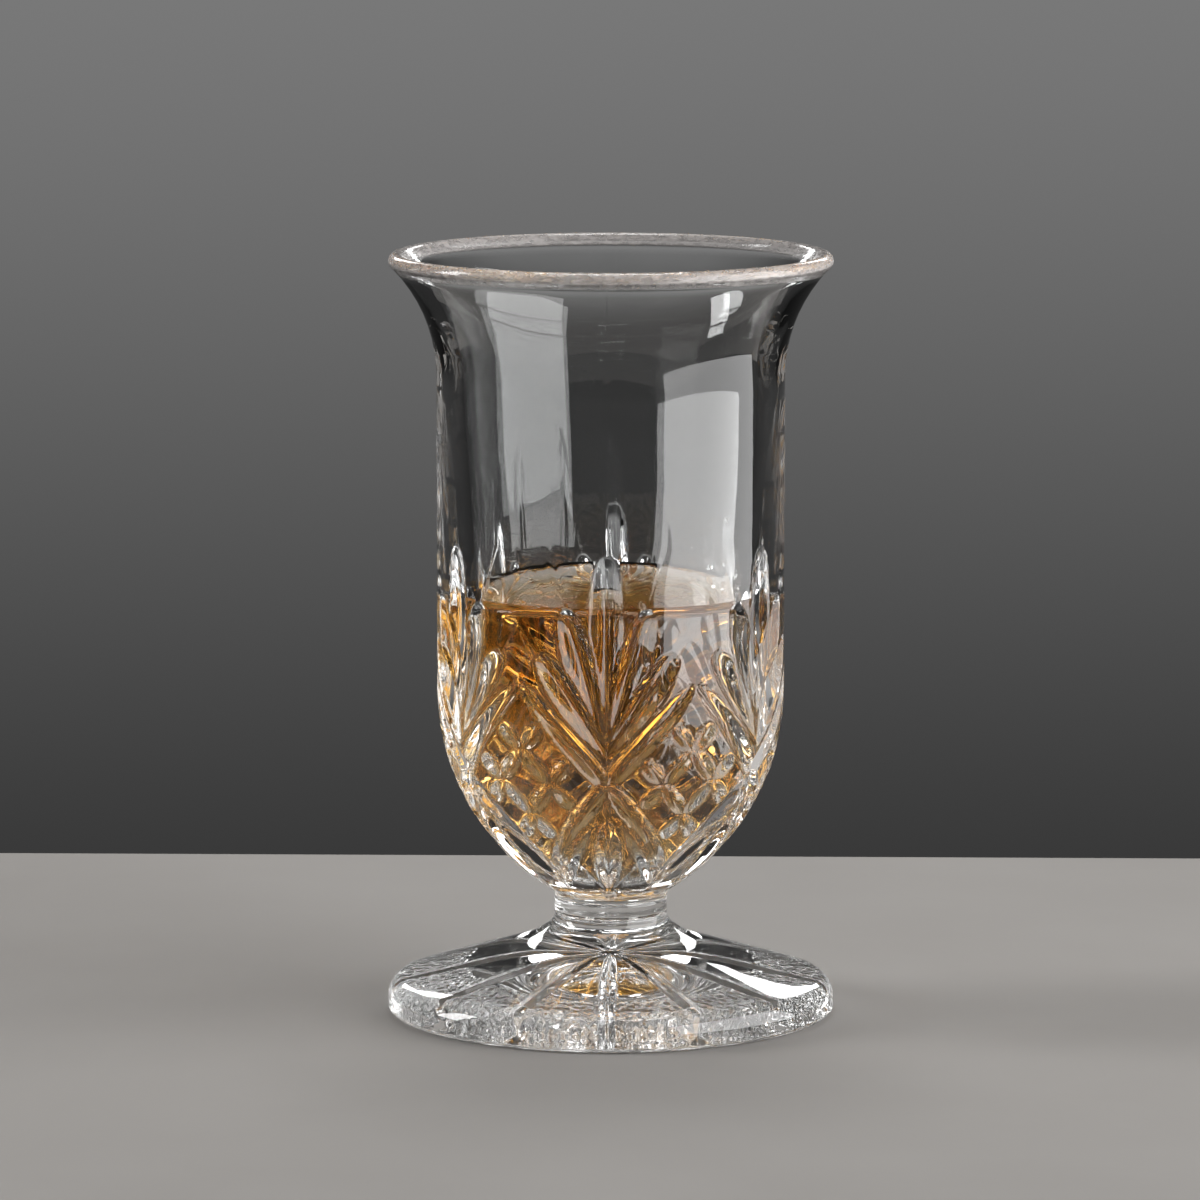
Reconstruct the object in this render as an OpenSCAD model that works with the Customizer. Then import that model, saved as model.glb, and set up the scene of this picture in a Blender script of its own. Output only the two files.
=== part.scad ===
// Whisky tasting glass in cut crystal: a flared bowl on a short collar and a wide foot, with its pour.
// Frame: +Z up, origin on the table at the centre of the foot, a fan of the cut pattern facing -Y.

/* [Overall] */
// Height from the table to the top of the lip
total_h = 117.5; // [110:0.5:130]

/* [Bowl] */
// Outside diameter of the straight part
barrel_d = 53.4; // [50:0.2:57]
// Wall where the flare starts
wall_t = 4; // [3.4:0.1:5]
// Draft of the plunger that presses the inside, in degrees
plunger_draft = 3.5; // [2:0.25:4.5]
// Outside diameter of the lip
rim_d = 68; // [63:0.2:72]
// Thickness of the rounded bead along the lip
lip_t = 3; // [2.6:0.1:3.6]
// Wall just under the bead
lip_wall = 2.3; // [1.6:0.1:2.5]
// Radius of the flare under the lip, outside
flare_r = 24; // [18:0.5:30]
// Radius of the flare under the lip, inside
inner_flare_r = 31; // [26:0.5:40]
// Radius of the belly in section, outside
belly_r = 36.7; // [34.5:0.1:40]
// Thickness of glass under the drink, on the axis
floor_t = 6.9; // [5:0.1:9]
// Height of the shank between belly and collar
shank_h = 0.8; // [0.4:0.1:2]

/* [Collar] */
// Diameter of the collar between bowl and foot
collar_d = 17.4; // [15:0.2:19]
// Height of the collar
collar_h = 2.5; // [1.5:0.1:5]

/* [Foot] */
// Outside diameter of the foot
foot_d = 69; // [65:0.5:74]
// Height of the upright edge of the foot
foot_edge_h = 2.3; // [1.8:0.1:4]
// Radius of the shoulder above the edge
foot_shoulder_r = 3.2; // [2:0.1:4.5]
// Radius of the bottom edge
foot_heel_r = 1; // [0.5:0.1:1.4]
// Slope of the top of the foot, in degrees
foot_slope = 17; // [14:0.5:19]
// Slope where the small neck curve hands over to the wide one, in degrees
neck_slope = 38; // [32:1:46]
// Radius of the small curve under the collar
neck_r = 2.6; // [1.6:0.1:3.6]
// Radius of the wide curve below it
sweep_r = 16; // [10:0.5:20]
// Width of the flat ring that the glass stands on
ring_w = 9; // [7:0.5:12]
// Rise of the hollow underside on the axis
hollow_h = 2.4; // [1:0.1:4]

/* [Star under the foot] */
// Number of rays
ray_count = 12; // [8:1:14]
// Distance from the axis to the inner tip of a ray
ray_start = 2.6; // [2:0.1:5]
// Rim of the foot left plain beyond the rays
ray_margin = 3.2; // [2.5:0.1:5]
// Greatest width of a ray
ray_w = 3.6; // [2.6:0.1:6]
// Depth of a ray at its middle
ray_depth = 1; // [0.6:0.1:1.8]

/* [Cut pattern] */
// Fans around the bowl
fan_count = 6; // [5:1:7]
// Drop from the top of the belly to where the long arms cross
cross_drop = 11.2; // [9:0.1:13]
// Height of the diamonds between the fans
diamond_h = 31; // [26:0.2:34]
// Rise from the crossing to the root of a fan
fan_root_h = 5.4; // [4:0.1:7]
// Length of the middle flute of a fan, from the root
flute_long = 29; // [24:0.2:32]
// Rise of the second flutes
flute_mid = 23.6; // [19:0.2:26]
// Rise of the outer flutes
flute_low = 15; // [12:0.2:17]
// Angle of the second flutes' tips, as a share of half a fan
flute_spread = 0.48; // [0.4:0.01:0.52]
// Angle of the outer flutes' tips, as a share of half a fan
flute_reach = 0.77; // [0.7:0.01:0.82]
// Greatest width of a flute
flute_w = 4.8; // [3:0.1:5.4]
// Depth of the flutes
flute_depth = 1.4; // [0.8:0.1:1.8]
// Width of the long arms
arm_w = 3.2; // [2:0.1:4]
// Depth of the long arms
arm_depth = 1.4; // [0.8:0.1:1.8]
// Width of the leaves inside the diamonds
leaf_w = 2.5; // [1.6:0.1:3]
// Depth of the leaves that rise to one side
leaf_depth = 0.8; // [0.4:0.1:1.1]
// Extra depth of the leaves that cross them, which are cut second
leaf_step = 0.13; // [0.05:0.01:0.3]
// Gap at the tips of flutes and arms, as a share of their length
tip_gap = 0.08; // [0.05:0.01:0.15]
// Gap between a diamond's border and the leaves inside it, as a share of a leaf
leaf_gap = 0.3; // [0.2:0.05:0.5]
// Drop from the crossing to the top of the bud below it
bud_drop = 5.4; // [4:0.1:7]
// Length of the bud
bud_h = 12.5; // [9:0.1:13]
// Width of the bud
bud_w = 4.2; // [3:0.1:5]
// Angle where the sepals beside the bud start, as a share of half a fan
sepal_start = 0.22; // [0.18:0.01:0.3]
// Drop from the top of the bud to the start of the sepals
sepal_drop = 1.5; // [1:0.1:3]

/* [Pour] */
// Depth of whisky on the axis
pour_h = 39.4; // [28:0.2:50]
// Play between the whisky and the glass
pour_gap = 0.15; // [0.1:0.05:0.4]

/* [Hidden] */
$fn = 96;

// Room that a cutting tool needs beyond the glass
clear = 0.5;
// Largest radius of a cutting wheel
wheel_max_r = 400;
// Steps of a cutting wheel's arc, and of a curve in the foot's outline
wheel_steps = 8;
arc_steps = 6;

barrel_r = barrel_d / 2;
inner_r = barrel_r - wall_t;
rim_r = rim_d / 2;
collar_r = collar_d / 2;
foot_r = foot_d / 2;

// Foot, from the edge up to the collar
slope_top = [foot_r - foot_shoulder_r * (1 - sin(foot_slope)),
             foot_edge_h + foot_shoulder_r * cos(foot_slope)];
sweep_dr = sweep_r * (sin(neck_slope) - sin(foot_slope));
neck_dr = neck_r * (1 - sin(neck_slope));
slope_r = collar_r + neck_dr + sweep_dr;
slope_z = slope_top[1] + (slope_top[0] - slope_r) * tan(foot_slope);
neck_z = slope_z + sweep_r * (cos(foot_slope) - cos(neck_slope));
foot_h = neck_z + neck_r * cos(neck_slope);
ring_r = foot_r - foot_heel_r;
hollow_r = ring_r - ring_w;
hollow_ball_r = (hollow_r * hollow_r + hollow_h * hollow_h) / (2 * hollow_h);

// Bowl, from the collar up to the lip
base_z = foot_h + collar_h;
belly_off = belly_r - barrel_r;
shoulder_z = base_z + shank_h + sqrt(belly_r * belly_r - pow(belly_off + collar_r, 2));
lip_arm = flare_r + lip_wall / 2;
lip_turn = acos((barrel_r + flare_r + lip_t / 2 - rim_r) / lip_arm);
flare_z = total_h - lip_t / 2 - sin(lip_turn) * lip_arm;
flare_ctr = [barrel_r + flare_r, flare_z];
lip_dir = [-cos(lip_turn), sin(lip_turn)];
lip_ctr = flare_ctr + lip_arm * lip_dir;
lip_in = flare_ctr + (flare_r + lip_wall) * lip_dir;
inner_flare_ctr = [inner_r + inner_flare_r,
    lip_in[1] - sqrt(pow(inner_flare_r, 2) - pow(inner_r + inner_flare_r - lip_in[0], 2))];
// The inside: a ball at the bottom, a drafted wall above it, and the flare
draft_top = inner_flare_ctr + inner_flare_r * [-cos(plunger_draft), sin(plunger_draft)];
cavity_z = base_z + floor_t;
cavity_r = (draft_top[0] - tan(plunger_draft) * (draft_top[1] - cavity_z))
    / (cos(plunger_draft) - tan(plunger_draft) * (1 - sin(plunger_draft)));
cavity_ctr_z = cavity_z + cavity_r;

// Cut pattern: places are [angle from the front, height]
fan_half = 180 / fan_count;
cross_z = shoulder_z - cross_drop;
arm_rise = diamond_h / 2;
root_z = cross_z + fan_root_h;
fan_root = [0, root_z];
flute_tips = [[0, root_z + flute_long],
              [flute_spread * fan_half, root_z + flute_mid], [-flute_spread * fan_half, root_z + flute_mid],
              [flute_reach * fan_half, root_z + flute_low], [-flute_reach * fan_half, root_z + flute_low]];
bud_z = cross_z - bud_drop;

function unit(v) = v / norm(v);
function belly_radius(z) =
    z >= shoulder_z ? barrel_r : sqrt(belly_r * belly_r - pow(shoulder_z - z, 2)) - belly_off;
function on_bowl(p) = let (r = belly_radius(p[1])) [r * sin(p[0]), -r * cos(p[0]), p[1]];
function bowl_normal(p) =
    let (nz = min(0, p[1] - shoulder_z) / belly_r, nr = sqrt(1 - nz * nz))
    [nr * sin(p[0]), -nr * cos(p[0]), nz];
// Place in a diamond: u and v run from 0 at its lower sides to 3 at its upper sides
function in_diamond(u, v) =
    [fan_half + (u - v) * fan_half / 3, cross_z + (u + v - 3) * arm_rise / 3];
function between(p, q, t) = p + (q - p) * t;

// Each cut: its two ends, its depth and its width
cuts = concat(
    [for (tip = flute_tips) [between(fan_root, tip, tip_gap), tip, flute_depth, flute_w]],
    [for (s = [-1, 1], t = [-1, 1])
        [[s * tip_gap / 2 * fan_half, cross_z + t * tip_gap / 2 * arm_rise],
         [s * (1 - tip_gap / 2) * fan_half, cross_z + t * (1 - tip_gap / 2) * arm_rise], arm_depth, arm_w]],
    [for (n = [1, 2]) [in_diamond(n, leaf_gap), in_diamond(n, 3 - leaf_gap), leaf_depth, leaf_w]],
    [for (n = [1, 2])
        [in_diamond(leaf_gap, n), in_diamond(3 - leaf_gap, n), leaf_depth + leaf_step, leaf_w]],
    [[[0, bud_z], [0, bud_z - bud_h], arm_depth, bud_w]],
    [for (s = [-1, 1])
        [[s * sepal_start * fan_half, bud_z - sepal_drop],
         [s * (1 - tip_gap / 2) * fan_half, bud_z - bud_h + sepal_drop / 2], leaf_depth, arm_w]]);

// V-shaped wheel cut from p1 to p2; crest is the surface point midway, and out its normal.
// The keel of the cut is an arc, hollow (bend 1) or crowned (bend -1), which starts and ends at the surface.
module wheel_cut(p1, p2, crest, out, depth, width) {
    chord = norm(p2 - p1);
    along = (p2 - p1) / chord;
    middle = (p1 + p2) / 2;
    up = unit(out - (out * along) * along);
    side = cross(up, along);
    rise = (crest - middle) * up;
    bend = depth < rise ? -1 : 1;
    sag = max(abs(depth - rise), chord * chord / (8 * wheel_max_r));
    wheel_r = chord * chord / (8 * sag) + sag / 2;
    axis = middle + bend * (wheel_r - sag) * up;
    half_turn = asin(chord / 2 / wheel_r) + clear / wheel_r * 180 / PI;
    reach = bend * sag + rise + clear;
    half_w = width / 2 * reach / (reach - clear);
    multmatrix([[up[0], along[0], side[0], axis[0]],
                [up[1], along[1], side[1], axis[1]],
                [up[2], along[2], side[2], axis[2]],
                [0, 0, 0, 1]])
        rotate_extrude(angle = 2 * half_turn, start = 90 + 90 * bend - half_turn,
                       $fn = ceil(wheel_steps * 180 / half_turn))
            polygon([[wheel_r, 0], [wheel_r - bend * reach, half_w], [wheel_r - bend * reach, -half_w]]);
}

// One cut of the list, at the same place of every fan
module bowl_cut(cut) {
    p = cut[0];
    q = cut[1];
    m = between(p, q, 0.5);
    for (i = [0 : fan_count - 1]) rotate([0, 0, 2 * fan_half * i])
        wheel_cut(on_bowl(p), on_bowl(q), on_bowl(m), bowl_normal(m), cut[2], cut[3]);
}

// Rectangle of a section between two corners
module block(r0, z0, r1, z1) {
    polygon([[r0, z0], [r1, z0], [r1, z1], [r0, z1]]);
}

// Section of the bowl's outside, filled to the axis
module outer_section() {
    block(0, base_z, collar_r, base_z + shank_h + floor_t / 2);
    intersection() {
        translate([-belly_off, shoulder_z]) circle(belly_r);
        block(0, base_z + shank_h / 2, barrel_r + clear, shoulder_z);
    }
    block(0, shoulder_z, barrel_r, flare_z);
    difference() {
        block(0, flare_z, flare_ctr[0], total_h);
        translate(flare_ctr) circle(flare_r);
    }
}

// Section of a ball of radius r at the bottom of the bowl, and of the drafted wall from it up to height top
module drafted(r, bottom, top) {
    foot = [r * cos(plunger_draft), cavity_ctr_z - r * sin(plunger_draft)];
    intersection() {
        translate([0, cavity_ctr_z]) circle(r);
        block(0, bottom, r + clear, foot[1]);
    }
    polygon([[0, foot[1]], foot, [foot[0] + tan(plunger_draft) * (top - foot[1]), top], [0, top]]);
}

// Section of the space inside the bowl, up past the lip
module cavity_section() {
    drafted(cavity_r, cavity_z - clear, draft_top[1]);
    difference() {
        block(0, draft_top[1], inner_flare_ctr[0], total_h + clear);
        translate(inner_flare_ctr) circle(inner_flare_r);
    }
}

// Half-plane below the line across the wall where the bead sits
module below_lip() {
    far = total_h;
    polygon([flare_ctr, flare_ctr + far * lip_dir, flare_ctr + far * lip_dir - [far, 0],
             [-far, -far], [flare_ctr[0], -far]]);
}

module bowl_section() {
    intersection() {
        difference() {
            outer_section();
            cavity_section();
        }
        below_lip();
    }
    translate(lip_ctr) circle(lip_t / 2);
}

// The blank with the first n cuts of the list made in it, one after the other
module cut_bowl(n) {
    if (n == 0) rotate_extrude() bowl_section();
    else difference() {
        cut_bowl(n - 1);
        bowl_cut(cuts[n - 1]);
    }
}

module bowl() {
    color([0.9, 0.94, 0.96, 0.35]) cut_bowl(len(cuts));
}

module joining_collar() {
    color([0.9, 0.94, 0.96, 0.5]) translate([0, 0, foot_h]) cylinder(h = collar_h, r = collar_r);
}

// Points along an arc, angles in degrees
function arc(ctr, r, from, to) =
    [for (i = [0 : arc_steps]) let (a = from + (to - from) * i / arc_steps) ctr + r * [cos(a), sin(a)]];

// Section of the foot, solid below
module foot_section() {
    neck_ctr = [collar_r + neck_r, foot_h];
    sweep_ctr = [slope_r + sweep_r * sin(foot_slope), slope_z + sweep_r * cos(foot_slope)];
    polygon(concat([[0, 0]],
        arc([ring_r, foot_heel_r], foot_heel_r, -90, 0),
        arc([foot_r - foot_shoulder_r, foot_edge_h], foot_shoulder_r, 0, 90 - foot_slope),
        arc(sweep_ctr, sweep_r, 270 - foot_slope, 270 - neck_slope),
        arc(neck_ctr, neck_r, 270 - neck_slope, 180),
        [[0, foot_h]]));
}

// Height of the underside at a radius
function under_foot(r) =
    r >= hollow_r ? 0 : hollow_h - hollow_ball_r + sqrt(hollow_ball_r * hollow_ball_r - r * r);

module ray(i) {
    tip = foot_r - ray_margin;
    mid = (ray_start + tip) / 2;
    rotate([0, 0, 360 / ray_count * i])
        wheel_cut([0, -ray_start, under_foot(ray_start)], [0, -tip, under_foot(tip)],
                  [0, -mid, under_foot(mid)], [0, 0, -1], ray_depth, ray_w);
}

// The foot with its first n rays cut, one after the other
module cut_foot(n) {
    if (n == 0) rotate_extrude() difference() {
        foot_section();
        translate([0, hollow_h - hollow_ball_r]) circle(hollow_ball_r);
    }
    else difference() {
        cut_foot(n - 1);
        ray(n - 1);
    }
}

module foot() {
    color([0.9, 0.94, 0.96, 0.35]) cut_foot(ray_count);
}

module whisky_pour() {
    color([0.72, 0.42, 0.12, 0.8]) rotate_extrude() drafted(cavity_r - pour_gap, cavity_z, cavity_z + pour_h);
}

bowl();
joining_collar();
foot();
whisky_pour();
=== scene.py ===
from math import acos, asin, cos, exp, pi, radians, sin, sqrt, tan

import bmesh
import bpy
import numpy as np
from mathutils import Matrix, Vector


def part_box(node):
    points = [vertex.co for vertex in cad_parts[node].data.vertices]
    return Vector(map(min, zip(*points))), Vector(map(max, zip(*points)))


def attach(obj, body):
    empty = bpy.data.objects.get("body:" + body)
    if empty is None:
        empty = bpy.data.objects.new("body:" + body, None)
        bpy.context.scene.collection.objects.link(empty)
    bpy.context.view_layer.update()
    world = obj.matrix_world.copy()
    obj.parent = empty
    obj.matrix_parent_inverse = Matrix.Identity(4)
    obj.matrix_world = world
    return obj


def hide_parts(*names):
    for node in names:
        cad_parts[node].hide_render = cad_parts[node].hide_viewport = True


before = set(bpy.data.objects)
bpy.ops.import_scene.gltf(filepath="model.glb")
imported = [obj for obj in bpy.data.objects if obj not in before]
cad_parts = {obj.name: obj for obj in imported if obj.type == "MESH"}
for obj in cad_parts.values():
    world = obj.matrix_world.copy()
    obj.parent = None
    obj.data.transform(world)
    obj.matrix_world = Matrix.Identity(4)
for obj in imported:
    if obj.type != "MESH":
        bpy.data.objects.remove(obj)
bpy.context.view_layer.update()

# Foot: the wide base that the glass stands on, pressed from clear crystal and fire-polished.
# Its top runs in one sweep up to the collar; a star of twelve mitre rays is cut in the hollow
# underside, and the ring that touches the table is stippled between the rays.
MM = 0.001
foot_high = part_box("foot")[1]
collar_low, collar_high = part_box("joining_collar")
foot_radius = foot_high.x / MM
foot_height = foot_high.z / MM
collar_radius = collar_high.x / MM
foot_edge_height = 2.3
foot_shoulder_round = 3.2
foot_heel_round = 1.0
foot_slope = radians(17)
neck_slope = radians(38)
neck_round = 2.6
sweep_round = 16
ring_width = 9
hollow_rise = 2.4
ray_inset = 3.2
ray_edge_round = 0.08
ray_margin = (-0.25, 0.1)
stipple_inset = 0.6
stipple_fade_in = 0.5
stipple_fade_out = 0.4
pit_steepness = 1.9
faces_down = 0.6
foot_columns = 480


class Wire:
    """A node socket that takes Python arithmetic: each operation adds a Math node to its tree."""

    def __init__(self, socket):
        self.socket = socket

    @classmethod
    def node(cls, tree, kind, settings=None, inputs=None, output=0):
        """Adds a node, sets its settings first and then its sockets, and returns one of its outputs."""
        made = tree.nodes.new(kind)
        for name, value in (settings or {}).items():
            setattr(made, name, value)
        for key, value in (inputs or {}).items():
            if isinstance(value, Wire):
                tree.links.new(value.socket, made.inputs[key])
            else:
                made.inputs[key].default_value = value
        return cls(made.outputs[output]) if made.outputs else None

    def out(self, output):
        return Wire(self.socket.node.outputs[output])

    def math(self, operation, *others, swap=False):
        terms = (*others, self) if swap else (self, *others)
        inputs = dict(enumerate(terms))
        return Wire.node(self.socket.id_data, "ShaderNodeMath", {"operation": operation}, inputs)

    def __add__(self, other):
        return self.math("ADD", other)

    __radd__ = __add__

    def __sub__(self, other):
        return self.math("SUBTRACT", other)

    def __rsub__(self, other):
        return self.math("SUBTRACT", other, swap=True)

    def __mul__(self, other):
        return self.math("MULTIPLY", other)

    __rmul__ = __mul__

    def __truediv__(self, other):
        return self.math("DIVIDE", other)

    def __rtruediv__(self, other):
        return self.math("DIVIDE", other, swap=True)

    def __pow__(self, other):
        return self.math("POWER", other)

    def __neg__(self):
        return self.math("MULTIPLY", -1)


def arc(centre, radius, start, stop, steps):
    """Points of an outline along an arc; start and stop are angles from the outward direction."""
    turns = [start + (stop - start) * i / steps for i in range(steps + 1)]
    return [(centre[0] + radius * cos(t), centre[1] + radius * sin(t)) for t in turns]


def line(start, stop, steps):
    shares = [i / steps for i in range(steps + 1)]
    return [(start[0] + (stop[0] - start[0]) * s, start[1] + (stop[1] - start[1]) * s) for s in shares]


def no_doubles(outline):
    points = [outline[0]]
    for point in outline[1:]:
        if max(abs(point[0] - points[-1][0]), abs(point[1] - points[-1][1])) > 1e-4:
            points.append(point)
    return points


def solid(name, vertices, faces, fused):
    """Object from vertices and faces; fused tells which faces are joined to a neighbour, and stay flat."""
    mesh = bpy.data.meshes.new(name)
    mesh.from_pydata(vertices, [], faces)
    mesh.polygons.foreach_set("use_smooth", [not flat for flat in fused])
    mesh.attributes.new("fused", "BOOLEAN", "FACE").data.foreach_set("value", fused)
    piece = bpy.data.objects.new(name, mesh)
    bpy.context.scene.collection.objects.link(piece)
    return piece


def turned(name, outline, columns, joints=()):
    """Solid of revolution from an outline of (radius, height) points in millimetres, which runs from the
    axis round the section and back to the axis. joints are the heights of flat faces fused to a neighbour."""
    points = no_doubles(outline)
    vertices = []
    rings = []
    for radius, height in points:
        count = columns if radius > 1e-6 else 1
        rings.append([len(vertices) + c for c in range(count)])
        for c in range(count):
            turn = 2 * pi * c / columns
            vertices.append((radius * sin(turn) * MM, -radius * cos(turn) * MM, height * MM))
    faces = []
    fused = []
    for n, (lower, upper) in enumerate(zip(rings, rings[1:])):
        flat = any(abs(points[n][1] - z) + abs(points[n + 1][1] - z) < 1e-3 for z in joints)
        for c in range(columns):
            corners = [lower[c % len(lower)], lower[(c + 1) % columns % len(lower)],
                       upper[(c + 1) % columns % len(upper)], upper[c % len(upper)]]
            faces.append(list(dict.fromkeys(corners)))
            fused.append(flat)
    return solid(name, vertices, faces, fused)


def new_tree(name, inputs, outputs):
    """Geometry Nodes group with the named sockets, and a wire from its inputs."""
    tree = bpy.data.node_groups.new(name, "GeometryNodeTree")
    for label, kind in inputs.items():
        tree.interface.new_socket(label, in_out="INPUT", socket_type="NodeSocket" + kind)
    for label, kind in outputs.items():
        tree.interface.new_socket(label, in_out="OUTPUT", socket_type="NodeSocket" + kind)
    return tree, Wire.node(tree, "NodeGroupInput")


def shaped(piece, tree, sizes):
    """Runs a Geometry Nodes tree on a piece and keeps the result as its plain mesh."""
    modifier = piece.modifiers.new(tree.name, "NODES")
    modifier.node_group = tree
    for item in tree.interface.items_tree:
        if item.in_out == "INPUT" and item.name in sizes:
            modifier[item.identifier] = sizes[item.name]
    graph = bpy.context.evaluated_depsgraph_get()
    mesh = bpy.data.meshes.new_from_object(piece.evaluated_get(graph), depsgraph=graph)
    piece.modifiers.clear()
    piece.data = mesh
    mesh.name = piece.name
    shell = bmesh.new()
    shell.from_mesh(mesh)
    bmesh.ops.recalc_face_normals(shell, faces=shell.faces)
    shell.to_mesh(mesh)
    shell.free()


# A mitre cut: the wheel's keel runs from start to end over an angle and a height of the surface.
# Radius and Slope turn these into lengths, and the tapers make an end pointed (1) or blunt (0.5).
mitre, sockets = new_tree("Mitre cut", {label: "Float" for label in (
    "Angle", "Height", "Radius", "Slope", "Start angle", "Start height", "End angle", "End height",
    "Width", "Depth", "Start taper", "End taper", "Keel round")}, {"Cut": "Float"})
run_x = sockets.out("Radius") * (sockets.out("End angle") - sockets.out("Start angle"))
run_y = sockets.out("Slope") * (sockets.out("End height") - sockets.out("Start height"))
here_x = sockets.out("Radius") * (sockets.out("Angle") - sockets.out("Start angle"))
here_y = sockets.out("Slope") * (sockets.out("Height") - sockets.out("Start height"))
length = (run_x * run_x + run_y * run_y).math("SQRT")
along = ((here_x * run_x + here_y * run_y) / (length * length)).math("MAXIMUM", 0.0).math("MINIMUM", 1.0)
aside = (here_x * run_y - here_y * run_x) / length
beyond = ((here_x * run_x + here_y * run_y) / length - along * length)
from_keel = (aside * aside + beyond * beyond + sockets.out("Keel round") ** 2).math("SQRT")
start_taper = sockets.out("Start taper")
end_taper = sockets.out("End taper")
tapers = start_taper + end_taper
fullest = ((start_taper / tapers) ** start_taper) * ((end_taper / tapers) ** end_taper)
swell = (along ** start_taper) * ((1 - along) ** end_taper) / fullest
flank = 2 * sockets.out("Depth") / sockets.out("Width")
Wire.node(mitre, "NodeGroupOutput", inputs={"Cut": swell * sockets.out("Depth") - from_keel * flank})


def cut_depth(tree, angle, height, radius, slope, start, end, width, depth, tapers, keel):
    """One mitre cut, in millimetres below the surface; start and end are (angle, height)."""
    return Wire.node(tree, "GeometryNodeGroup", {"node_tree": mitre}, {
        "Angle": angle, "Height": height, "Radius": radius, "Slope": slope,
        "Start angle": start[0], "Start height": start[1], "End angle": end[0], "End height": end[1],
        "Width": width, "Depth": depth, "Start taper": tapers[0], "End taper": tapers[1], "Keel round": keel})


def surface_place(tree):
    """Millimetre coordinates of a point: x, y, height, distance from the axis and angle from the front."""
    position = Wire.node(tree, "GeometryNodeInputPosition")
    scaled = Wire.node(tree, "ShaderNodeVectorMath", {"operation": "SCALE"}, {0: position, "Scale": 1 / MM})
    xyz = Wire.node(tree, "ShaderNodeSeparateXYZ", inputs={0: scaled})
    x, y, z = (xyz.out(i) for i in range(3))
    return scaled, x, y, z, (x * x + y * y).math("SQRT"), x.math("ARCTAN2", -y)


def ease(tree, value, low, high, bottom=0.0, top=1.0):
    """Goes smoothly from bottom to top while the value goes from low to high."""
    return Wire.node(tree, "ShaderNodeMapRange", {"interpolation_type": "SMOOTHSTEP"}, {
        "Value": value, "From Min": low, "From Max": high, "To Min": bottom, "To Max": top})


def finish_tree(tree, geometry, crystal):
    """Ends a tree: instances made real, and the glass on every face that isn't fused to a neighbour."""
    real = Wire.node(tree, "GeometryNodeRealizeInstances", inputs={0: geometry})
    fused = Wire.node(tree, "GeometryNodeInputNamedAttribute", {"data_type": "BOOLEAN"}, {"Name": "fused"})
    open_face = Wire.node(tree, "FunctionNodeBooleanMath", {"operation": "NOT"}, {0: fused})
    clad = Wire.node(tree, "GeometryNodeSetMaterial",
                     inputs={"Geometry": real, "Selection": open_face, "Material": crystal})
    Wire.node(tree, "NodeGroupOutput", inputs={0: clad})


def new_material(name):
    """Material with an empty node tree, and that tree."""
    material = bpy.data.materials.new(name)
    material.use_nodes = True
    material.node_tree.nodes.clear()
    return material, material.node_tree


# Clear crystal: bright and colourless, with the faint ripple of pressed glass that was polished in the flame
# and a thin film from handling. The two mould seams run down from the lip, which was ground by hand.
# The ground band is partly frosted, as a ground lip is, and the frost's pinkish tone is painted light with a
# painted reflection of a brown wooden table. The ground band and the seams are placed by their depth below
# the lip, from where they start to where they are full.
crystal_tint = (0.985, 0.99, 0.988, 1)
crystal_index = 1.54
ripple_relief = 0.03
seam_relief = 0.07
seam_width = 0.35
seam_start = 24
seam_full = 14
grind_relief = 0.04
ground_start = 1.9
ground_full = 1.5
film_haze = 0.02
ground_haze = 0.06
# Pinkish frost of the ground lip: a real ground frost, tinted with painted light and a painted reflection of
# a brown wooden table.
frost_painted_light_tint = (0.86, 0.8, 0.77, 1)
frost_painted_light_least = 0.05
frost_painted_light_grain = 0.5
lip_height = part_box("bowl")[1].z
crystal, nodes = new_material("cut_crystal")
place = Wire.node(nodes, "ShaderNodeTexCoord").out("Object")
across = Wire.node(nodes, "ShaderNodeSeparateXYZ", inputs={0: place})
ripple = Wire.node(nodes, "ShaderNodeTexNoise", inputs={"Vector": place, "Scale": 110, "Detail": 1.5})
wheel_marks = Wire.node(nodes, "ShaderNodeVectorMath", {"operation": "MULTIPLY"}, {0: place, 1: (1, 1, 3)})
grind = Wire.node(nodes, "ShaderNodeTexNoise", inputs={"Vector": wheel_marks, "Scale": 700, "Detail": 3.0})
film = Wire.node(nodes, "ShaderNodeTexNoise", inputs={"Vector": place, "Scale": 45, "Detail": 4}) - 0.5
ground = ease(nodes, across.out(2), lip_height - ground_start * MM, lip_height - ground_full * MM)
above_cuts = ease(nodes, across.out(2), lip_height - seam_start * MM, lip_height - seam_full * MM)
seam = (-((across.out(0) / (seam_width * MM)) ** 2)).math("EXPONENT") * above_cuts
relief = ripple_relief * ripple + seam_relief * seam + grind_relief * grind * ground
wave = Wire.node(nodes, "ShaderNodeBump", inputs={"Strength": 1.0, "Distance": MM, "Height": relief})
body = Wire.node(nodes, "ShaderNodeBsdfPrincipled", inputs={
    "Base Color": crystal_tint,
    "Roughness": film.math("MAXIMUM", 0.0) * film_haze + ground_haze * ground,
    "IOR": crystal_index, "Transmission Weight": 1.0, "Normal": wave})
# Frost layer on the ground lip: its pinkish colour is painted light and a painted reflection of a brown
# wooden table, over the real ground finish.
frost_with_painted_light = Wire.node(nodes, "ShaderNodeBsdfPrincipled", inputs={
    "Base Color": frost_painted_light_tint, "Roughness": 0.3, "IOR": crystal_index, "Normal": wave})
polish = Wire.node(nodes, "ShaderNodeMixShader", inputs={
    0: ground * (frost_painted_light_least + frost_painted_light_grain * grind), 1: body, 2: frost_with_painted_light})
Wire.node(nodes, "ShaderNodeOutputMaterial", inputs={"Surface": polish})

# Fused joint: where two pieces of hot glass were pressed together light passes as if nothing were there.
joint_glass, nodes = new_material("fused_joint")
through = Wire.node(nodes, "ShaderNodeBsdfTransparent", inputs={"Color": (1, 1, 1, 1)})
Wire.node(nodes, "ShaderNodeOutputMaterial", inputs={"Surface": through})

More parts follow.
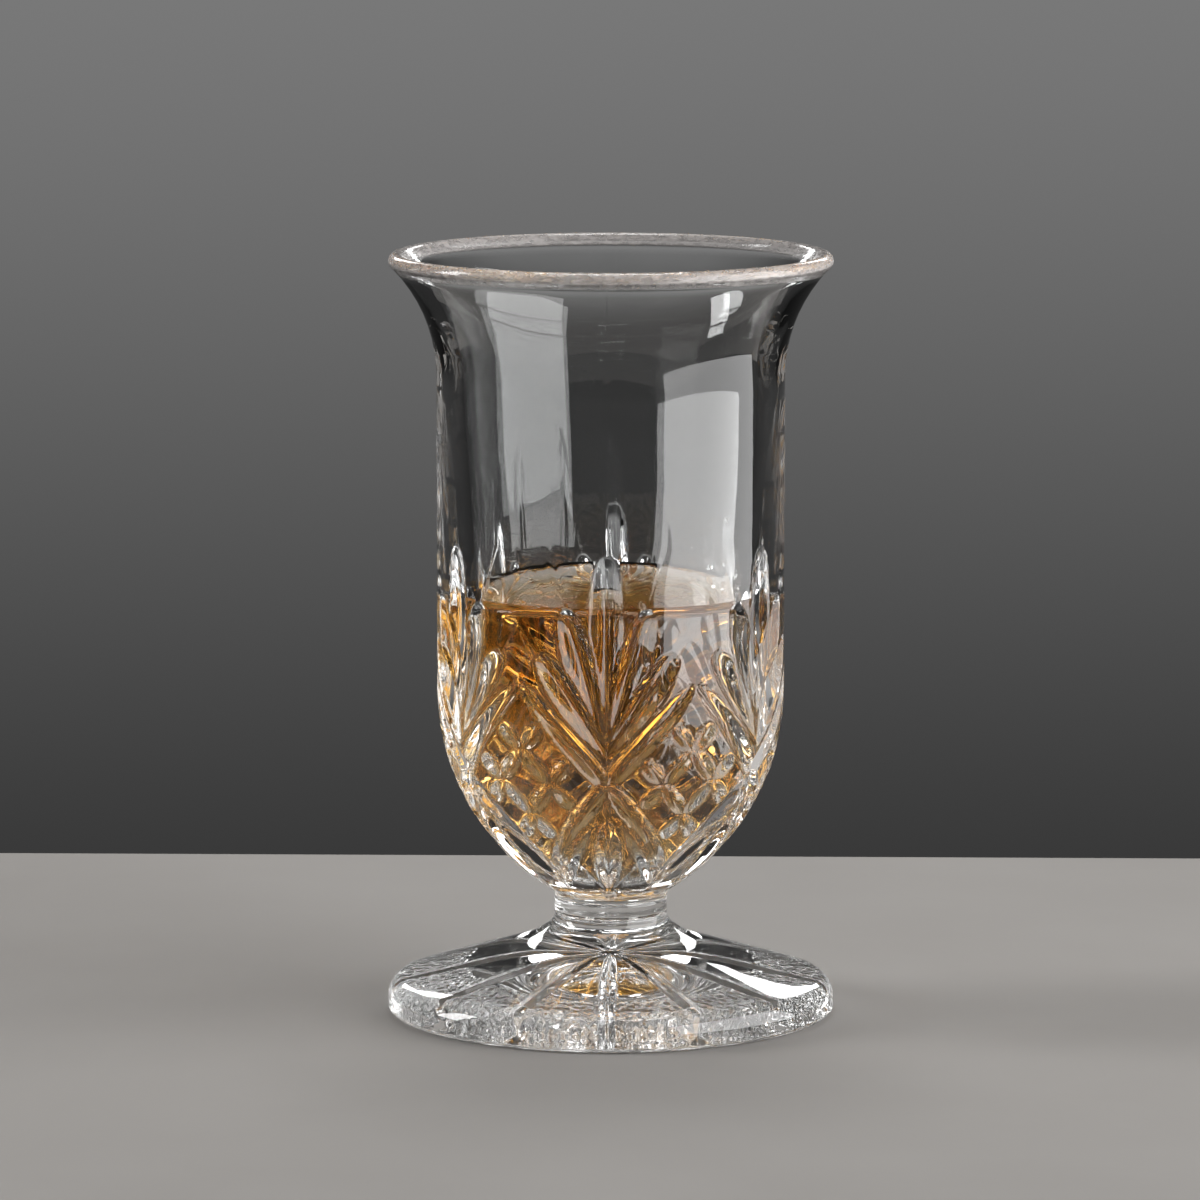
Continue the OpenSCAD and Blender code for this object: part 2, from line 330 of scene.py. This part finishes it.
slope_top = (foot_radius - foot_shoulder_round * (1 - sin(foot_slope)),
             foot_edge_height + foot_shoulder_round * cos(foot_slope))
slope_radius = (collar_radius + neck_round * (1 - sin(neck_slope))
                + sweep_round * (sin(neck_slope) - sin(foot_slope)))
slope_height = slope_top[1] + (slope_top[0] - slope_radius) * tan(foot_slope)
sweep_centre = (slope_radius + sweep_round * sin(foot_slope), slope_height + sweep_round * cos(foot_slope))
ring_radius = foot_radius - foot_heel_round
hollow_radius = ring_radius - ring_width
hollow_ball = (hollow_radius ** 2 + hollow_rise ** 2) / (2 * hollow_rise)
hollow_turn = asin(hollow_radius / hollow_ball)
foot_outline = (
    arc((0, hollow_rise - hollow_ball), hollow_ball, pi / 2, pi / 2 - hollow_turn, 64)
    + line((hollow_radius, 0), (ring_radius, 0), 25)
    + arc((ring_radius, foot_heel_round), foot_heel_round, -pi / 2, 0, 5)
    + arc((foot_radius - foot_shoulder_round, foot_edge_height), foot_shoulder_round,
          0, pi / 2 - foot_slope, 12)
    + line(slope_top, (slope_radius, slope_height), 10)
    + arc(sweep_centre, sweep_round, 1.5 * pi - foot_slope, 1.5 * pi - neck_slope, 10)
    + arc((collar_radius + neck_round, foot_height), neck_round, 1.5 * pi - neck_slope, pi, 10)
    + [(0, foot_height)])
foot = turned("starred_foot", foot_outline, foot_columns, joints=[foot_height])
foot.data.materials.append(joint_glass)

star, sockets = new_tree("Star and stipple", {
    "Geometry": "Geometry", "Rays": "Float", "Ray start": "Float", "Ray end": "Float", "Ray width": "Float",
    "Ray depth": "Float", "Stipple inside": "Float", "Stipple outside": "Float", "Stipple grain": "Float",
    "Stipple depth": "Float", "Crystal": "Material"}, {"Geometry": "Geometry"})
scaled, *_, radius, angle = surface_place(star)
normal = Wire.node(star, "GeometryNodeInputNormal")
facing = Wire.node(star, "ShaderNodeSeparateXYZ", inputs={0: normal}).out(2)
underside = (-facing).math("GREATER_THAN", faces_down) * radius.math("LESS_THAN", ring_radius + 0.01)
folded = angle.math("PINGPONG", pi / sockets.out("Rays"))
ray_start = (0.0, sockets.out("Ray start"))
ray_end = (0.0, sockets.out("Ray end"))
ray = cut_depth(star, folded, radius, radius, 1.0, ray_start, ray_end,
                sockets.out("Ray width"), sockets.out("Ray depth"), tapers=(0.5, 0.3), keel=0.15)
grain = Wire.node(star, "ShaderNodeTexVoronoi", {"feature": "F1", "voronoi_dimensions": "2D"},
                  {"Vector": scaled, "Scale": 1 / sockets.out("Stipple grain")})
inside = sockets.out("Stipple inside")
outside = sockets.out("Stipple outside")
band = (ease(star, radius, inside - stipple_fade_in, inside + stipple_fade_in)
        * (1 - ease(star, radius, outside - stipple_fade_out, outside + stipple_fade_out)))
pits = (1 - pit_steepness * grain).math("MAXIMUM", 0.0) * band * (1 - ease(star, ray, *ray_margin))
sunk = ray.math("SMOOTH_MAX", 0.0, ray_edge_round) + pits * sockets.out("Stipple depth")
lifted = Wire.node(star, "ShaderNodeCombineXYZ", inputs={"Z": sunk * underside * MM})
moved = Wire.node(star, "GeometryNodeSetPosition", inputs={
    "Geometry": sockets.out("Geometry"), "Offset": lifted})
finish_tree(star, moved, sockets.out("Crystal"))
shaped(foot, star, {
    "Rays": 12.0, "Ray start": 1.2, "Ray end": foot_radius - ray_inset, "Ray width": 2.6, "Ray depth": 1.0,
    "Stipple inside": 21.0, "Stipple outside": ring_radius - stipple_inset, "Stipple grain": 0.95,
    "Stipple depth": 0.4, "Crystal": crystal})
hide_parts("foot")
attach(foot, "glass")

# Joining collar: a short button of the same crystal, dropped hot on the foot to carry the bowl.
# The bowl and the foot are fused to its two flat faces, which leaves a soft groove at each.
collar_columns = 192
collar_rings = 16
collar_groove = 0.22
collar_bottom = collar_low.z / MM
collar_top = collar_high.z / MM
collar_middle = (collar_bottom + collar_top) / 2
collar_half = (collar_top - collar_bottom) / 2
collar_side = []
for i in range(collar_rings + 1):
    share = -1 + 2 * i / collar_rings
    collar_side.append((collar_radius - collar_groove * abs(share) ** 5, collar_middle + collar_half * share))
collar = turned("fused_collar", [(0, collar_bottom)] + collar_side + [(0, collar_top)], collar_columns,
                joints=[collar_bottom, collar_top])
collar.data.materials.append(crystal)
collar.data.materials.append(joint_glass)
collar.data.polygons.foreach_set(
    "material_index", [int(face.value) for face in collar.data.attributes["fused"].data])
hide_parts("joining_collar")
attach(collar, "glass")

# Bowl: a thick crystal vessel, straight outside and drafted inside by the plunger that pressed it, with a
# flared lip that ends in a bead. Six fans and six latticed diamonds are cut in the belly with a mitre wheel,
# and a bud with two sepals hangs below each fan.
bowl_low, bowl_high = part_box("bowl")
pour_low, pour_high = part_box("whisky_pour")
pour_play = 0.15
barrel_radius = 26.7
wall = 4.0
lip_bead = 2.5
lip_wall = 2.4
flare_round = 24
inner_flare_round = 31
belly_round = 36.7
shank_height = 0.8
base_round = 1.2
cut_rise = 25
bowl_base = bowl_low.z / MM
lip_top = bowl_high.z / MM
lip_radius = bowl_high.x / MM
inner_radius = barrel_radius - wall
belly_offset = belly_round - barrel_radius
plunger_draft = radians(3.5)
shoulder = bowl_base + shank_height + sqrt(belly_round ** 2 - (belly_offset + collar_radius) ** 2)
cut_top = shoulder + cut_rise

base_reach = collar_radius + base_round + belly_offset
base_height = shoulder - sqrt((belly_round + base_round) ** 2 - base_reach ** 2)
belly_turn = acos(base_reach / (belly_round + base_round))
lip_arm = flare_round + lip_wall / 2
lip_turn = acos((barrel_radius + flare_round + lip_bead / 2 - lip_radius) / lip_arm)
flare_height = lip_top - lip_bead / 2 - sin(lip_turn) * lip_arm
flare_centre = (barrel_radius + flare_round, flare_height)
lip_centre = (flare_centre[0] - cos(lip_turn) * lip_arm, flare_centre[1] + sin(lip_turn) * lip_arm)
lip_inside = (flare_centre[0] - cos(lip_turn) * (flare_round + lip_wall),
              flare_centre[1] + sin(lip_turn) * (flare_round + lip_wall))
inner_flare_height = lip_inside[1] - sqrt(
    inner_flare_round ** 2 - (inner_radius + inner_flare_round - lip_inside[0]) ** 2)
draft_top = (inner_radius + inner_flare_round * (1 - cos(plunger_draft)),
             inner_flare_height + inner_flare_round * sin(plunger_draft))
cavity_bottom = pour_low.z / MM - pour_play
cavity_round = (draft_top[0] - tan(plunger_draft) * (draft_top[1] - cavity_bottom)) / (
    cos(plunger_draft) - tan(plunger_draft) * (1 - sin(plunger_draft)))
cavity_centre = cavity_bottom + cavity_round
draft_foot = (cavity_round * cos(plunger_draft), cavity_centre - cavity_round * sin(plunger_draft))
bead_neck = acos(lip_wall / lip_bead)
flare_end = lip_turn - asin(lip_bead / 2 * sin(bead_neck) / flare_round)
inner_flare_end = asin((lip_inside[1] - inner_flare_height) / inner_flare_round) - asin(
    lip_bead / 2 * sin(bead_neck) / inner_flare_round)
bowl_outline = (
    [(0, bowl_base), (collar_radius, bowl_base)]
    + arc((collar_radius + base_round, base_height), base_round, pi, pi - belly_turn, 4)
    + arc((-belly_offset, shoulder), belly_round, -belly_turn, 0, 84)
    + line((barrel_radius, shoulder), (barrel_radius, cut_top), 56)
    + line((barrel_radius, cut_top), (barrel_radius, flare_height), 5)
    + arc(flare_centre, flare_round, pi, pi - flare_end, 9)
    + arc(lip_centre, lip_bead / 2, -lip_turn - bead_neck, pi - lip_turn + bead_neck, 14)[1:-1]
    + arc((inner_radius + inner_flare_round, inner_flare_height), inner_flare_round, pi - inner_flare_end,
          pi - plunger_draft, 9)
    + line(draft_top, draft_foot, 8)
    + arc((0, cavity_centre), cavity_round, -plunger_draft, -pi / 2, 18))

# The pattern is marked out on half a fan, from the middle of a fan to the middle of a diamond.
fan_count = 6
half_fan = pi / fan_count
crossing = shoulder - 11.2
half_diamond = 15.5
fan_root = crossing + 5.4
flutes = ((0.0, 29.5, 5.4), (0.46, 21.4, 5.2), (0.76, 14.4, 4.6))
flute_tail = 0.04
flute_depth = 2.5
flute_edge = 1.3
arm_start = 0.01
arm_reach = 0.97
arm_width = 3.4
arm_depth = 1.8
arm_edge = 1.2
leaf_width = 2.7
leaf_depth = 1.35
leaf_edge = 0.8
bud_top = 5.4
bud_tip = 17.9
bud_width = 4.4
bud_edge = 0.3
sepal_top = 6.9
sepal_tip = 17.2
notch_top = 1.6
notch_tip = 5.2
fire_polish = 0.3
sector_columns = 34
crease_halvings = 16
crease_snap = 0.18
seam_snap = 0.01


def diamond(u, v):
    """Place in a diamond, folded onto half a fan: u and v go from 0 at its lower sides to 3 at its upper."""
    share = 1 + (u - v) / 3
    return half_fan * min(share, 2 - share), crossing + half_diamond * (u + v - 3) / 3


# Each cut: the (angle, height) of its two ends, its width, its depth, its tapers (1 pointed, 0.5 blunt) and
# the roundness of the wheel's edge. A flute has its share of half a fan, its height and its width; the bud,
# the sepal and the notch over them lie below the crossing of the arms.
cuts = []
for share, height, width in flutes:
    cuts.append(((half_fan * share * -flute_tail, fan_root - height * flute_tail),
                 (half_fan * share, fan_root + height), width, flute_depth, (0.9, 0.6), flute_edge))
for way in (1, -1):
    cuts.append(((half_fan * arm_start, crossing + half_diamond * arm_start * way),
                 (half_fan * arm_reach, crossing + half_diamond * arm_reach * way),
                 arm_width, arm_depth, (0.3, 0.6), arm_edge))
for inner, outer in (((1, 2), (1, 2.72)), ((1, 1), (1, 0.28)), ((2, 2), (2, 2.72)), ((2, 1), (2, 0.28))):
    cuts.append((diamond(*inner), diamond(*outer), leaf_width, leaf_depth, (0.9, 0.55), leaf_edge))
for low, high in (((1, 1), (1, 2)), ((2, 1), (2, 2))):
    cuts.append((diamond(*low), diamond(*high), leaf_width, leaf_depth, (0.75, 0.75), leaf_edge))
cuts.append(((0.0, crossing - bud_top), (0.0, crossing - bud_tip),
             bud_width, arm_depth, (0.9, 0.9), bud_edge))
cuts.append(((half_fan * 0.22, crossing - sepal_top), (half_fan * 0.96, crossing - sepal_tip),
             arm_width, leaf_depth, (0.8, 0.8), bud_edge))
cuts.append(((0.0, crossing - notch_top), (0.0, crossing - notch_tip),
             leaf_width / 2, leaf_depth / 2, (0.8, 0.8), bud_edge))


def flanks(angle, height, radius, slope):
    """Depth of the pattern at places on the blank, and the flank that makes it: 0 where the blank is left."""
    depth = np.zeros(angle.shape)
    deepest = np.zeros(angle.shape)
    owner = np.zeros(angle.shape, int)
    for n, (start, end, width, deep, tapers, edge) in enumerate(cuts):
        run = np.array([radius * (end[0] - start[0]), slope * (end[1] - start[1])])
        here = np.array([radius * (angle - start[0]), slope * (height - start[1])])
        length = np.hypot(*run)
        along = np.clip((here * run).sum(0) / length ** 2, 0, 1)
        aside = (here[0] * run[1] - here[1] * run[0]) / length
        share = tapers[0] / sum(tapers)
        fullest = share ** tapers[0] * (1 - share) ** tapers[1]
        swell = along ** tapers[0] * (1 - along) ** tapers[1] / fullest
        cut = deep * (swell - (np.hypot(aside, edge) - edge) / (np.hypot(width / 2, edge) - edge))
        owner = np.where(cut > deepest, 2 * n + 1 + (aside > 0), owner)
        deepest = np.maximum(cut, deepest)
        blend = np.clip(0.5 + (cut - depth) / (2 * fire_polish), 0, 1)
        depth = depth + blend * (cut - depth) + fire_polish * blend * (1 - blend)
    return depth, owner


def cut_sector(name, outline, first, last, columns):
    """Half a fan of the bowl. Between rows first and last each cell of the blank is parted along the creases
    that cross it, so that every keel, ridge and edge of the pattern is a clean line of edges. A corner that
    lies near a crease moves onto it, unless it is on the side where the next half fan is joined."""
    rows = np.array(outline)
    slant = np.gradient(rows, axis=0)
    facing = np.stack([slant[:, 1], -slant[:, 0]], 1) / np.hypot(slant[:, 0], slant[:, 1])[:, None]
    index = np.arange(len(rows))
    wide = columns + 1

    def blank(row):
        return [np.interp(row, index, column) for column in (*rows.T, *facing.T)]

    def pattern(turn, row):
        radius, height, face_out, face_up = blank(row)
        inside = (row >= first) & (row <= last)
        depth, owner = flanks(turn, height, radius, 1 / np.maximum(face_out, 0.25))
        return depth * inside, owner * inside

    grid = np.arange(len(rows) * wide).reshape(len(rows), wide)
    turn = np.tile(np.linspace(0, half_fan, wide), len(rows))
    row = np.repeat(index.astype(float), wide)
    owner = pattern(turn, row)[1]
    zone = grid[first:last + 1]
    ends = np.concatenate([np.stack([zone[:, :-1].ravel(), zone[:, 1:].ravel()], 1),
                           np.stack([zone[:-1].ravel(), zone[1:].ravel()], 1)])
    ends = ends[owner[ends[:, 0]] != owner[ends[:, 1]]]
    near, far = ends.T
    low = np.zeros(len(ends))
    high = np.ones(len(ends))
    for _ in range(crease_halvings):
        share = (low + high) / 2
        same = pattern(turn[near] + (turn[far] - turn[near]) * share,
                       row[near] + (row[far] - row[near]) * share)[1] == owner[near]
        low = np.where(same, share, low)
        high = np.where(same, high, share)
    mark_turn = turn[near] + (turn[far] - turn[near]) * share
    mark_row = row[near] + (row[far] - row[near]) * share
    level = row[near] == row[far]
    turn = turn.tolist()
    row = row.tolist()
    marks = {}
    moved = set()
    for n, (a, b) in enumerate(ends.tolist()):
        corner = a if share[n] < 0.5 else b
        held = level[n] and corner % wide in (0, columns)
        if min(share[n], 1 - share[n]) < (seam_snap if held else crease_snap):
            if corner not in moved and not held:
                turn[corner] = mark_turn[n]
                row[corner] = mark_row[n]
                moved.add(corner)
            marks[a, b] = marks[b, a] = corner
        else:
            marks[a, b] = marks[b, a] = len(turn)
            turn.append(mark_turn[n])
            row.append(mark_row[n])
    grid[rows[:, 0] < 1e-6] = grid[rows[:, 0] < 1e-6, :1]
    faces = []
    fused = []
    for i in range(len(rows) - 1):
        flat = bool(abs(rows[i, 1] - bowl_base) + abs(rows[i + 1, 1] - bowl_base) < 1e-3)
        for j in range(columns):
            corners = [int(grid[i, j]), int(grid[i, j + 1]), int(grid[i + 1, j + 1]), int(grid[i + 1, j])]
            loop = []
            creases = set()
            for a, b in zip(corners, corners[1:] + corners[:1]):
                loop.append(a)
                if (a, b) in marks:
                    creases.add(marks[a, b])
                    if marks[a, b] not in corners:
                        loop.append(marks[a, b])
            loop = list(dict.fromkeys(loop))
            stops = [n for n, corner in enumerate(loop) if corner in creases]
            parts = [loop]
            if len(stops) == 2:
                halves = [loop[stops[0]:stops[1] + 1], loop[stops[1]:] + loop[:stops[0] + 1]]
                parts = halves if min(map(len, halves)) > 2 else parts
            elif len(stops) > 2:
                centre = len(turn)
                turn.append(sum(turn[loop[n]] for n in stops) / len(stops))
                row.append(sum(row[loop[n]] for n in stops) / len(stops))
                turns = loop + loop
                ahead = stops[1:] + [stops[0] + len(loop)]
                parts = [turns[a:b + 1] + [centre] for a, b in zip(stops, ahead)]
            faces += parts
            fused += [flat] * len(parts)
    turn = np.array(turn)
    row = np.array(row)
    radius, height, face_out, face_up = blank(row)
    depth = pattern(turn, row)[0]
    radius = radius - face_out * depth
    vertices = np.stack([radius * np.sin(turn), -radius * np.cos(turn), height - face_up * depth], 1) * MM
    return solid(name, vertices.tolist(), faces, fused)


bowl_outline = no_doubles(bowl_outline)
first_cut = next(n for n, (r, z) in enumerate(bowl_outline)
                 if r > collar_radius + base_round / 2 and z > bowl_base)
last_cut = next(n for n, (r, z) in enumerate(bowl_outline) if z > cut_top - 1e-4)
bowl = cut_sector("cut_bowl", bowl_outline, first_cut, last_cut, sector_columns)
bowl.data.materials.append(joint_glass)

# The half fan is mirrored and turned six times round the bowl, and the wall gets the faint ripple of pressed
# glass, which fades out towards the joint at the base and towards the lip.
seam_weld = 0.002
ripple_none = 1
ripple_full = 6
fans, sockets = new_tree("Fans round the bowl", {
    "Geometry": "Geometry", "Fans": "Int", "Wall ripple": "Float", "Ripple size": "Float",
    "Crystal": "Material"}, {"Geometry": "Geometry"})
mirrored = Wire.node(fans, "GeometryNodeTransform", inputs={
    "Geometry": sockets.out("Geometry"), "Scale": (-1, 1, 1)})
whole_fan = Wire.node(fans, "GeometryNodeJoinGeometry", inputs={0: sockets.out("Geometry")})
fans.links.new(mirrored.socket, whole_fan.socket.node.inputs[0])
places = Wire.node(fans, "GeometryNodeMeshLine", {"mode": "OFFSET"}, {
    "Count": sockets.out("Fans"), "Offset": (0, 0, 0)})
fan_turn = Wire.node(fans, "GeometryNodeInputIndex") * (2 * pi / sockets.out("Fans"))
spin = Wire.node(fans, "ShaderNodeCombineXYZ", inputs={"Z": fan_turn})
turned_fans = Wire.node(fans, "GeometryNodeInstanceOnPoints", inputs={
    "Points": places, "Instance": whole_fan, "Rotation": spin})
real = Wire.node(fans, "GeometryNodeRealizeInstances", inputs={0: turned_fans})
joined = Wire.node(fans, "GeometryNodeMergeByDistance", inputs={"Geometry": real, "Distance": seam_weld * MM})
scaled, x, y, z, radius, _ = surface_place(fans)
ripple = Wire.node(fans, "ShaderNodeTexNoise", inputs={
    "Vector": scaled, "Scale": 1 / sockets.out("Ripple size"), "Detail": 1.0}) - 0.5
plain = (ease(fans, z, bowl_base + ripple_none, bowl_base + ripple_full)
         * (1 - ease(fans, z, lip_top - ripple_full, lip_top - ripple_none)))
off_axis = radius.math("MAXIMUM", 1.0)
way_out = Wire.node(fans, "ShaderNodeCombineXYZ", inputs={"X": x / off_axis, "Y": y / off_axis})
moved = Wire.node(fans, "ShaderNodeVectorMath", {"operation": "SCALE"}, {
    0: way_out, "Scale": ripple * plain * sockets.out("Wall ripple") * MM})
rippled = Wire.node(fans, "GeometryNodeSetPosition", inputs={"Geometry": joined, "Offset": moved})
finish_tree(fans, rippled, sockets.out("Crystal"))
shaped(bowl, fans, {"Fans": fan_count, "Wall ripple": 0.2, "Ripple size": 15.0, "Crystal": crystal})
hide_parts("bowl")
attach(bowl, "glass")

# Whisky: a pour of amber spirit that wets the wall of the bowl and climbs it in a narrow meniscus.
# It lies a hair inside the glass, so that no film of air shows between the two.
pour_columns = 240
pour_wetting = 0.1
meniscus_rise = 1.6
meniscus_width = 1.4
meniscus_rings = 24
amber_tint = (0.87, 0.7, 0.29, 1)
pour_level = pour_high.z / MM
wet_round = cavity_round + pour_wetting
wet_foot = (wet_round * cos(plunger_draft), cavity_centre - wet_round * sin(plunger_draft))
wet_height = pour_level + meniscus_rise
wet_radius = wet_foot[0] + tan(plunger_draft) * (wet_height - wet_foot[1])
dry_radius = wet_radius - pour_wetting
pour_outline = arc((0, cavity_centre), wet_round, -pi / 2, -plunger_draft, 40)
pour_outline += line(wet_foot, (wet_radius, wet_height), 12)[1:]
for i in range(meniscus_rings + 1):
    inset = dry_radius * (i / meniscus_rings) ** 2
    pour_outline.append((dry_radius - inset, pour_level + meniscus_rise * exp(-inset / meniscus_width)))
pour = turned("amber_pour", pour_outline, pour_columns)

whisky, nodes = new_material("whisky")
place = Wire.node(nodes, "ShaderNodeTexCoord").out("Object")
swirl = Wire.node(nodes, "ShaderNodeTexNoise", inputs={"Vector": place, "Scale": 60, "Detail": 1.0})
still = Wire.node(nodes, "ShaderNodeBump", inputs={"Strength": 0.02, "Distance": MM, "Height": swirl})
spirit = Wire.node(nodes, "ShaderNodeBsdfPrincipled", inputs={
    "Base Color": (1, 1, 1, 1), "Roughness": 0.0, "IOR": 1.36, "Transmission Weight": 1.0, "Normal": still})
amber = Wire.node(nodes, "ShaderNodeVolumeAbsorption", inputs={"Color": amber_tint, "Density": 118.0})
Wire.node(nodes, "ShaderNodeOutputMaterial", inputs={"Surface": spirit, "Volume": amber})
pour.data.materials.append(whisky)
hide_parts("whisky_pour")
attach(pour, "pour")

# Stage: a plain pale lacquered table top just under the foot, in a grey studio that is lightest at the
# horizon behind the glass. A large softbox stands on the right and a strip on the left, with one lamp
# overhead and two small ones behind.
table_left = -150
table_right = 150
table_front = -160
table_back = 131
table_thick = 14
table_drop = 0.12
lacquer_dark = (0.32, 0.305, 0.29, 1)
lacquer_light = (0.355, 0.34, 0.325, 1)
table_corners = [(x * MM, y * MM, z * MM) for z in (-table_drop - table_thick, -table_drop)
                 for x, y in ((table_left, table_front), (table_right, table_front),
                              (table_right, table_back), (table_left, table_back))]
table_faces = [(3, 2, 1, 0), (4, 5, 6, 7), (0, 1, 5, 4), (1, 2, 6, 5), (2, 3, 7, 6), (3, 0, 4, 7)]
table = solid("table_top", table_corners, table_faces, [True] * 6)
lacquer, nodes = new_material("pale_lacquer")
place = Wire.node(nodes, "ShaderNodeTexCoord").out("Object")
mottle = Wire.node(nodes, "ShaderNodeTexNoise", inputs={"Vector": place, "Scale": 25, "Detail": 3})
tone = Wire.node(nodes, "ShaderNodeMix", {"data_type": "RGBA"}, {
    0: mottle, 6: lacquer_dark, 7: lacquer_light}, 2)
coat = Wire.node(nodes, "ShaderNodeBsdfPrincipled", inputs={
    "Base Color": tone, "Roughness": 0.8, "Specular IOR Level": 0.0})
Wire.node(nodes, "ShaderNodeOutputMaterial", inputs={"Surface": coat})
table.data.materials.append(lacquer)

scene = bpy.context.scene
scene.view_settings.view_transform = "Standard"
scene.cycles.max_bounces = 40
scene.cycles.transmission_bounces = 36
scene.cycles.glossy_bounces = 12
scene.cycles.transparent_max_bounces = 24

fill_light = 0.15
world = bpy.data.worlds.new("grey_studio")
scene.world = world
world.use_nodes = True
nodes = world.node_tree
nodes.nodes.clear()
path = Wire.node(nodes, "ShaderNodeLightPath")
seen = path.out("Is Camera Ray").math("MAXIMUM", path.out("Is Glossy Ray"))
seen = seen.math("MAXIMUM", path.out("Is Transmission Ray"))
direction = Wire.node(nodes, "ShaderNodeTexCoord").out("Generated")
look = Wire.node(nodes, "ShaderNodeSeparateXYZ", inputs={0: direction})
grey = ease(nodes, look.out(2), -0.2, -0.03, bottom=0.035, top=0.2)
dusk = ease(nodes, look.out(2), -0.05, 0.05, bottom=1.0, top=0.12)
room = ease(nodes, look.out(1), 0.3, 0.95, bottom=0.3, top=1.0)
ceiling = ease(nodes, look.out(2), 0.4, 0.85, bottom=0.0, top=0.15)
glow = Wire.node(nodes, "ShaderNodeBackground", inputs={
    "Color": (1, 1, 1, 1), "Strength": (grey * dusk * room + ceiling) * seen + fill_light * (1 - seen)})
Wire.node(nodes, "ShaderNodeOutputWorld", inputs={"Surface": glow})


def softbox(name, turn, distance, height, width, tall, power, tilt=0.0):
    """Area lamp at an angle from the front towards the right, turned to the axis of the glass; tilt aims it
    down. Lengths are in metres, angles in degrees."""
    lamp = bpy.data.lights.new(name, "AREA")
    lamp.shape = "RECTANGLE"
    lamp.size = width
    lamp.size_y = tall
    lamp.energy = power
    fitting = bpy.data.objects.new(name, lamp)
    fitting.location = (distance * sin(radians(turn)), -distance * cos(radians(turn)), height)
    fitting.rotation_euler = (pi / 2 - radians(tilt), 0, radians(turn))
    fitting.visible_camera = False
    scene.collection.objects.link(fitting)


softbox("softbox_right", 72, 1.1, 0.4, 1.6, 1.6, 32)
softbox("strip_left", -92, 1.4, 0.75, 0.4, 0.9, 14)
softbox("overhead", 180, 0.45, 1.2, 0.4, 0.4, 3.5, tilt=70)
softbox("rear_left", 200, 1.3, 0.56, 0.2, 0.36, 1.6, tilt=20)
softbox("rear_right", 164, 1.3, 0.56, 0.2, 0.36, 1.6, tilt=20)

view_distance = 1.0565
view_height = 0.21755
view_turn = radians(1.35)
view_pitch = radians(8.277)
view_yaw = radians(0.09)
camera_data = bpy.data.cameras.new("camera")
camera_data.sensor_width = 36
camera_data.lens = 208.37
camera_data.clip_start = 0.01
camera = bpy.data.objects.new("camera", camera_data)
camera.location = (view_distance * sin(view_turn), -view_distance * cos(view_turn), view_height)
camera.rotation_euler = (pi / 2 - view_pitch, 0, view_turn + view_yaw)
scene.collection.objects.link(camera)
scene.camera = camera
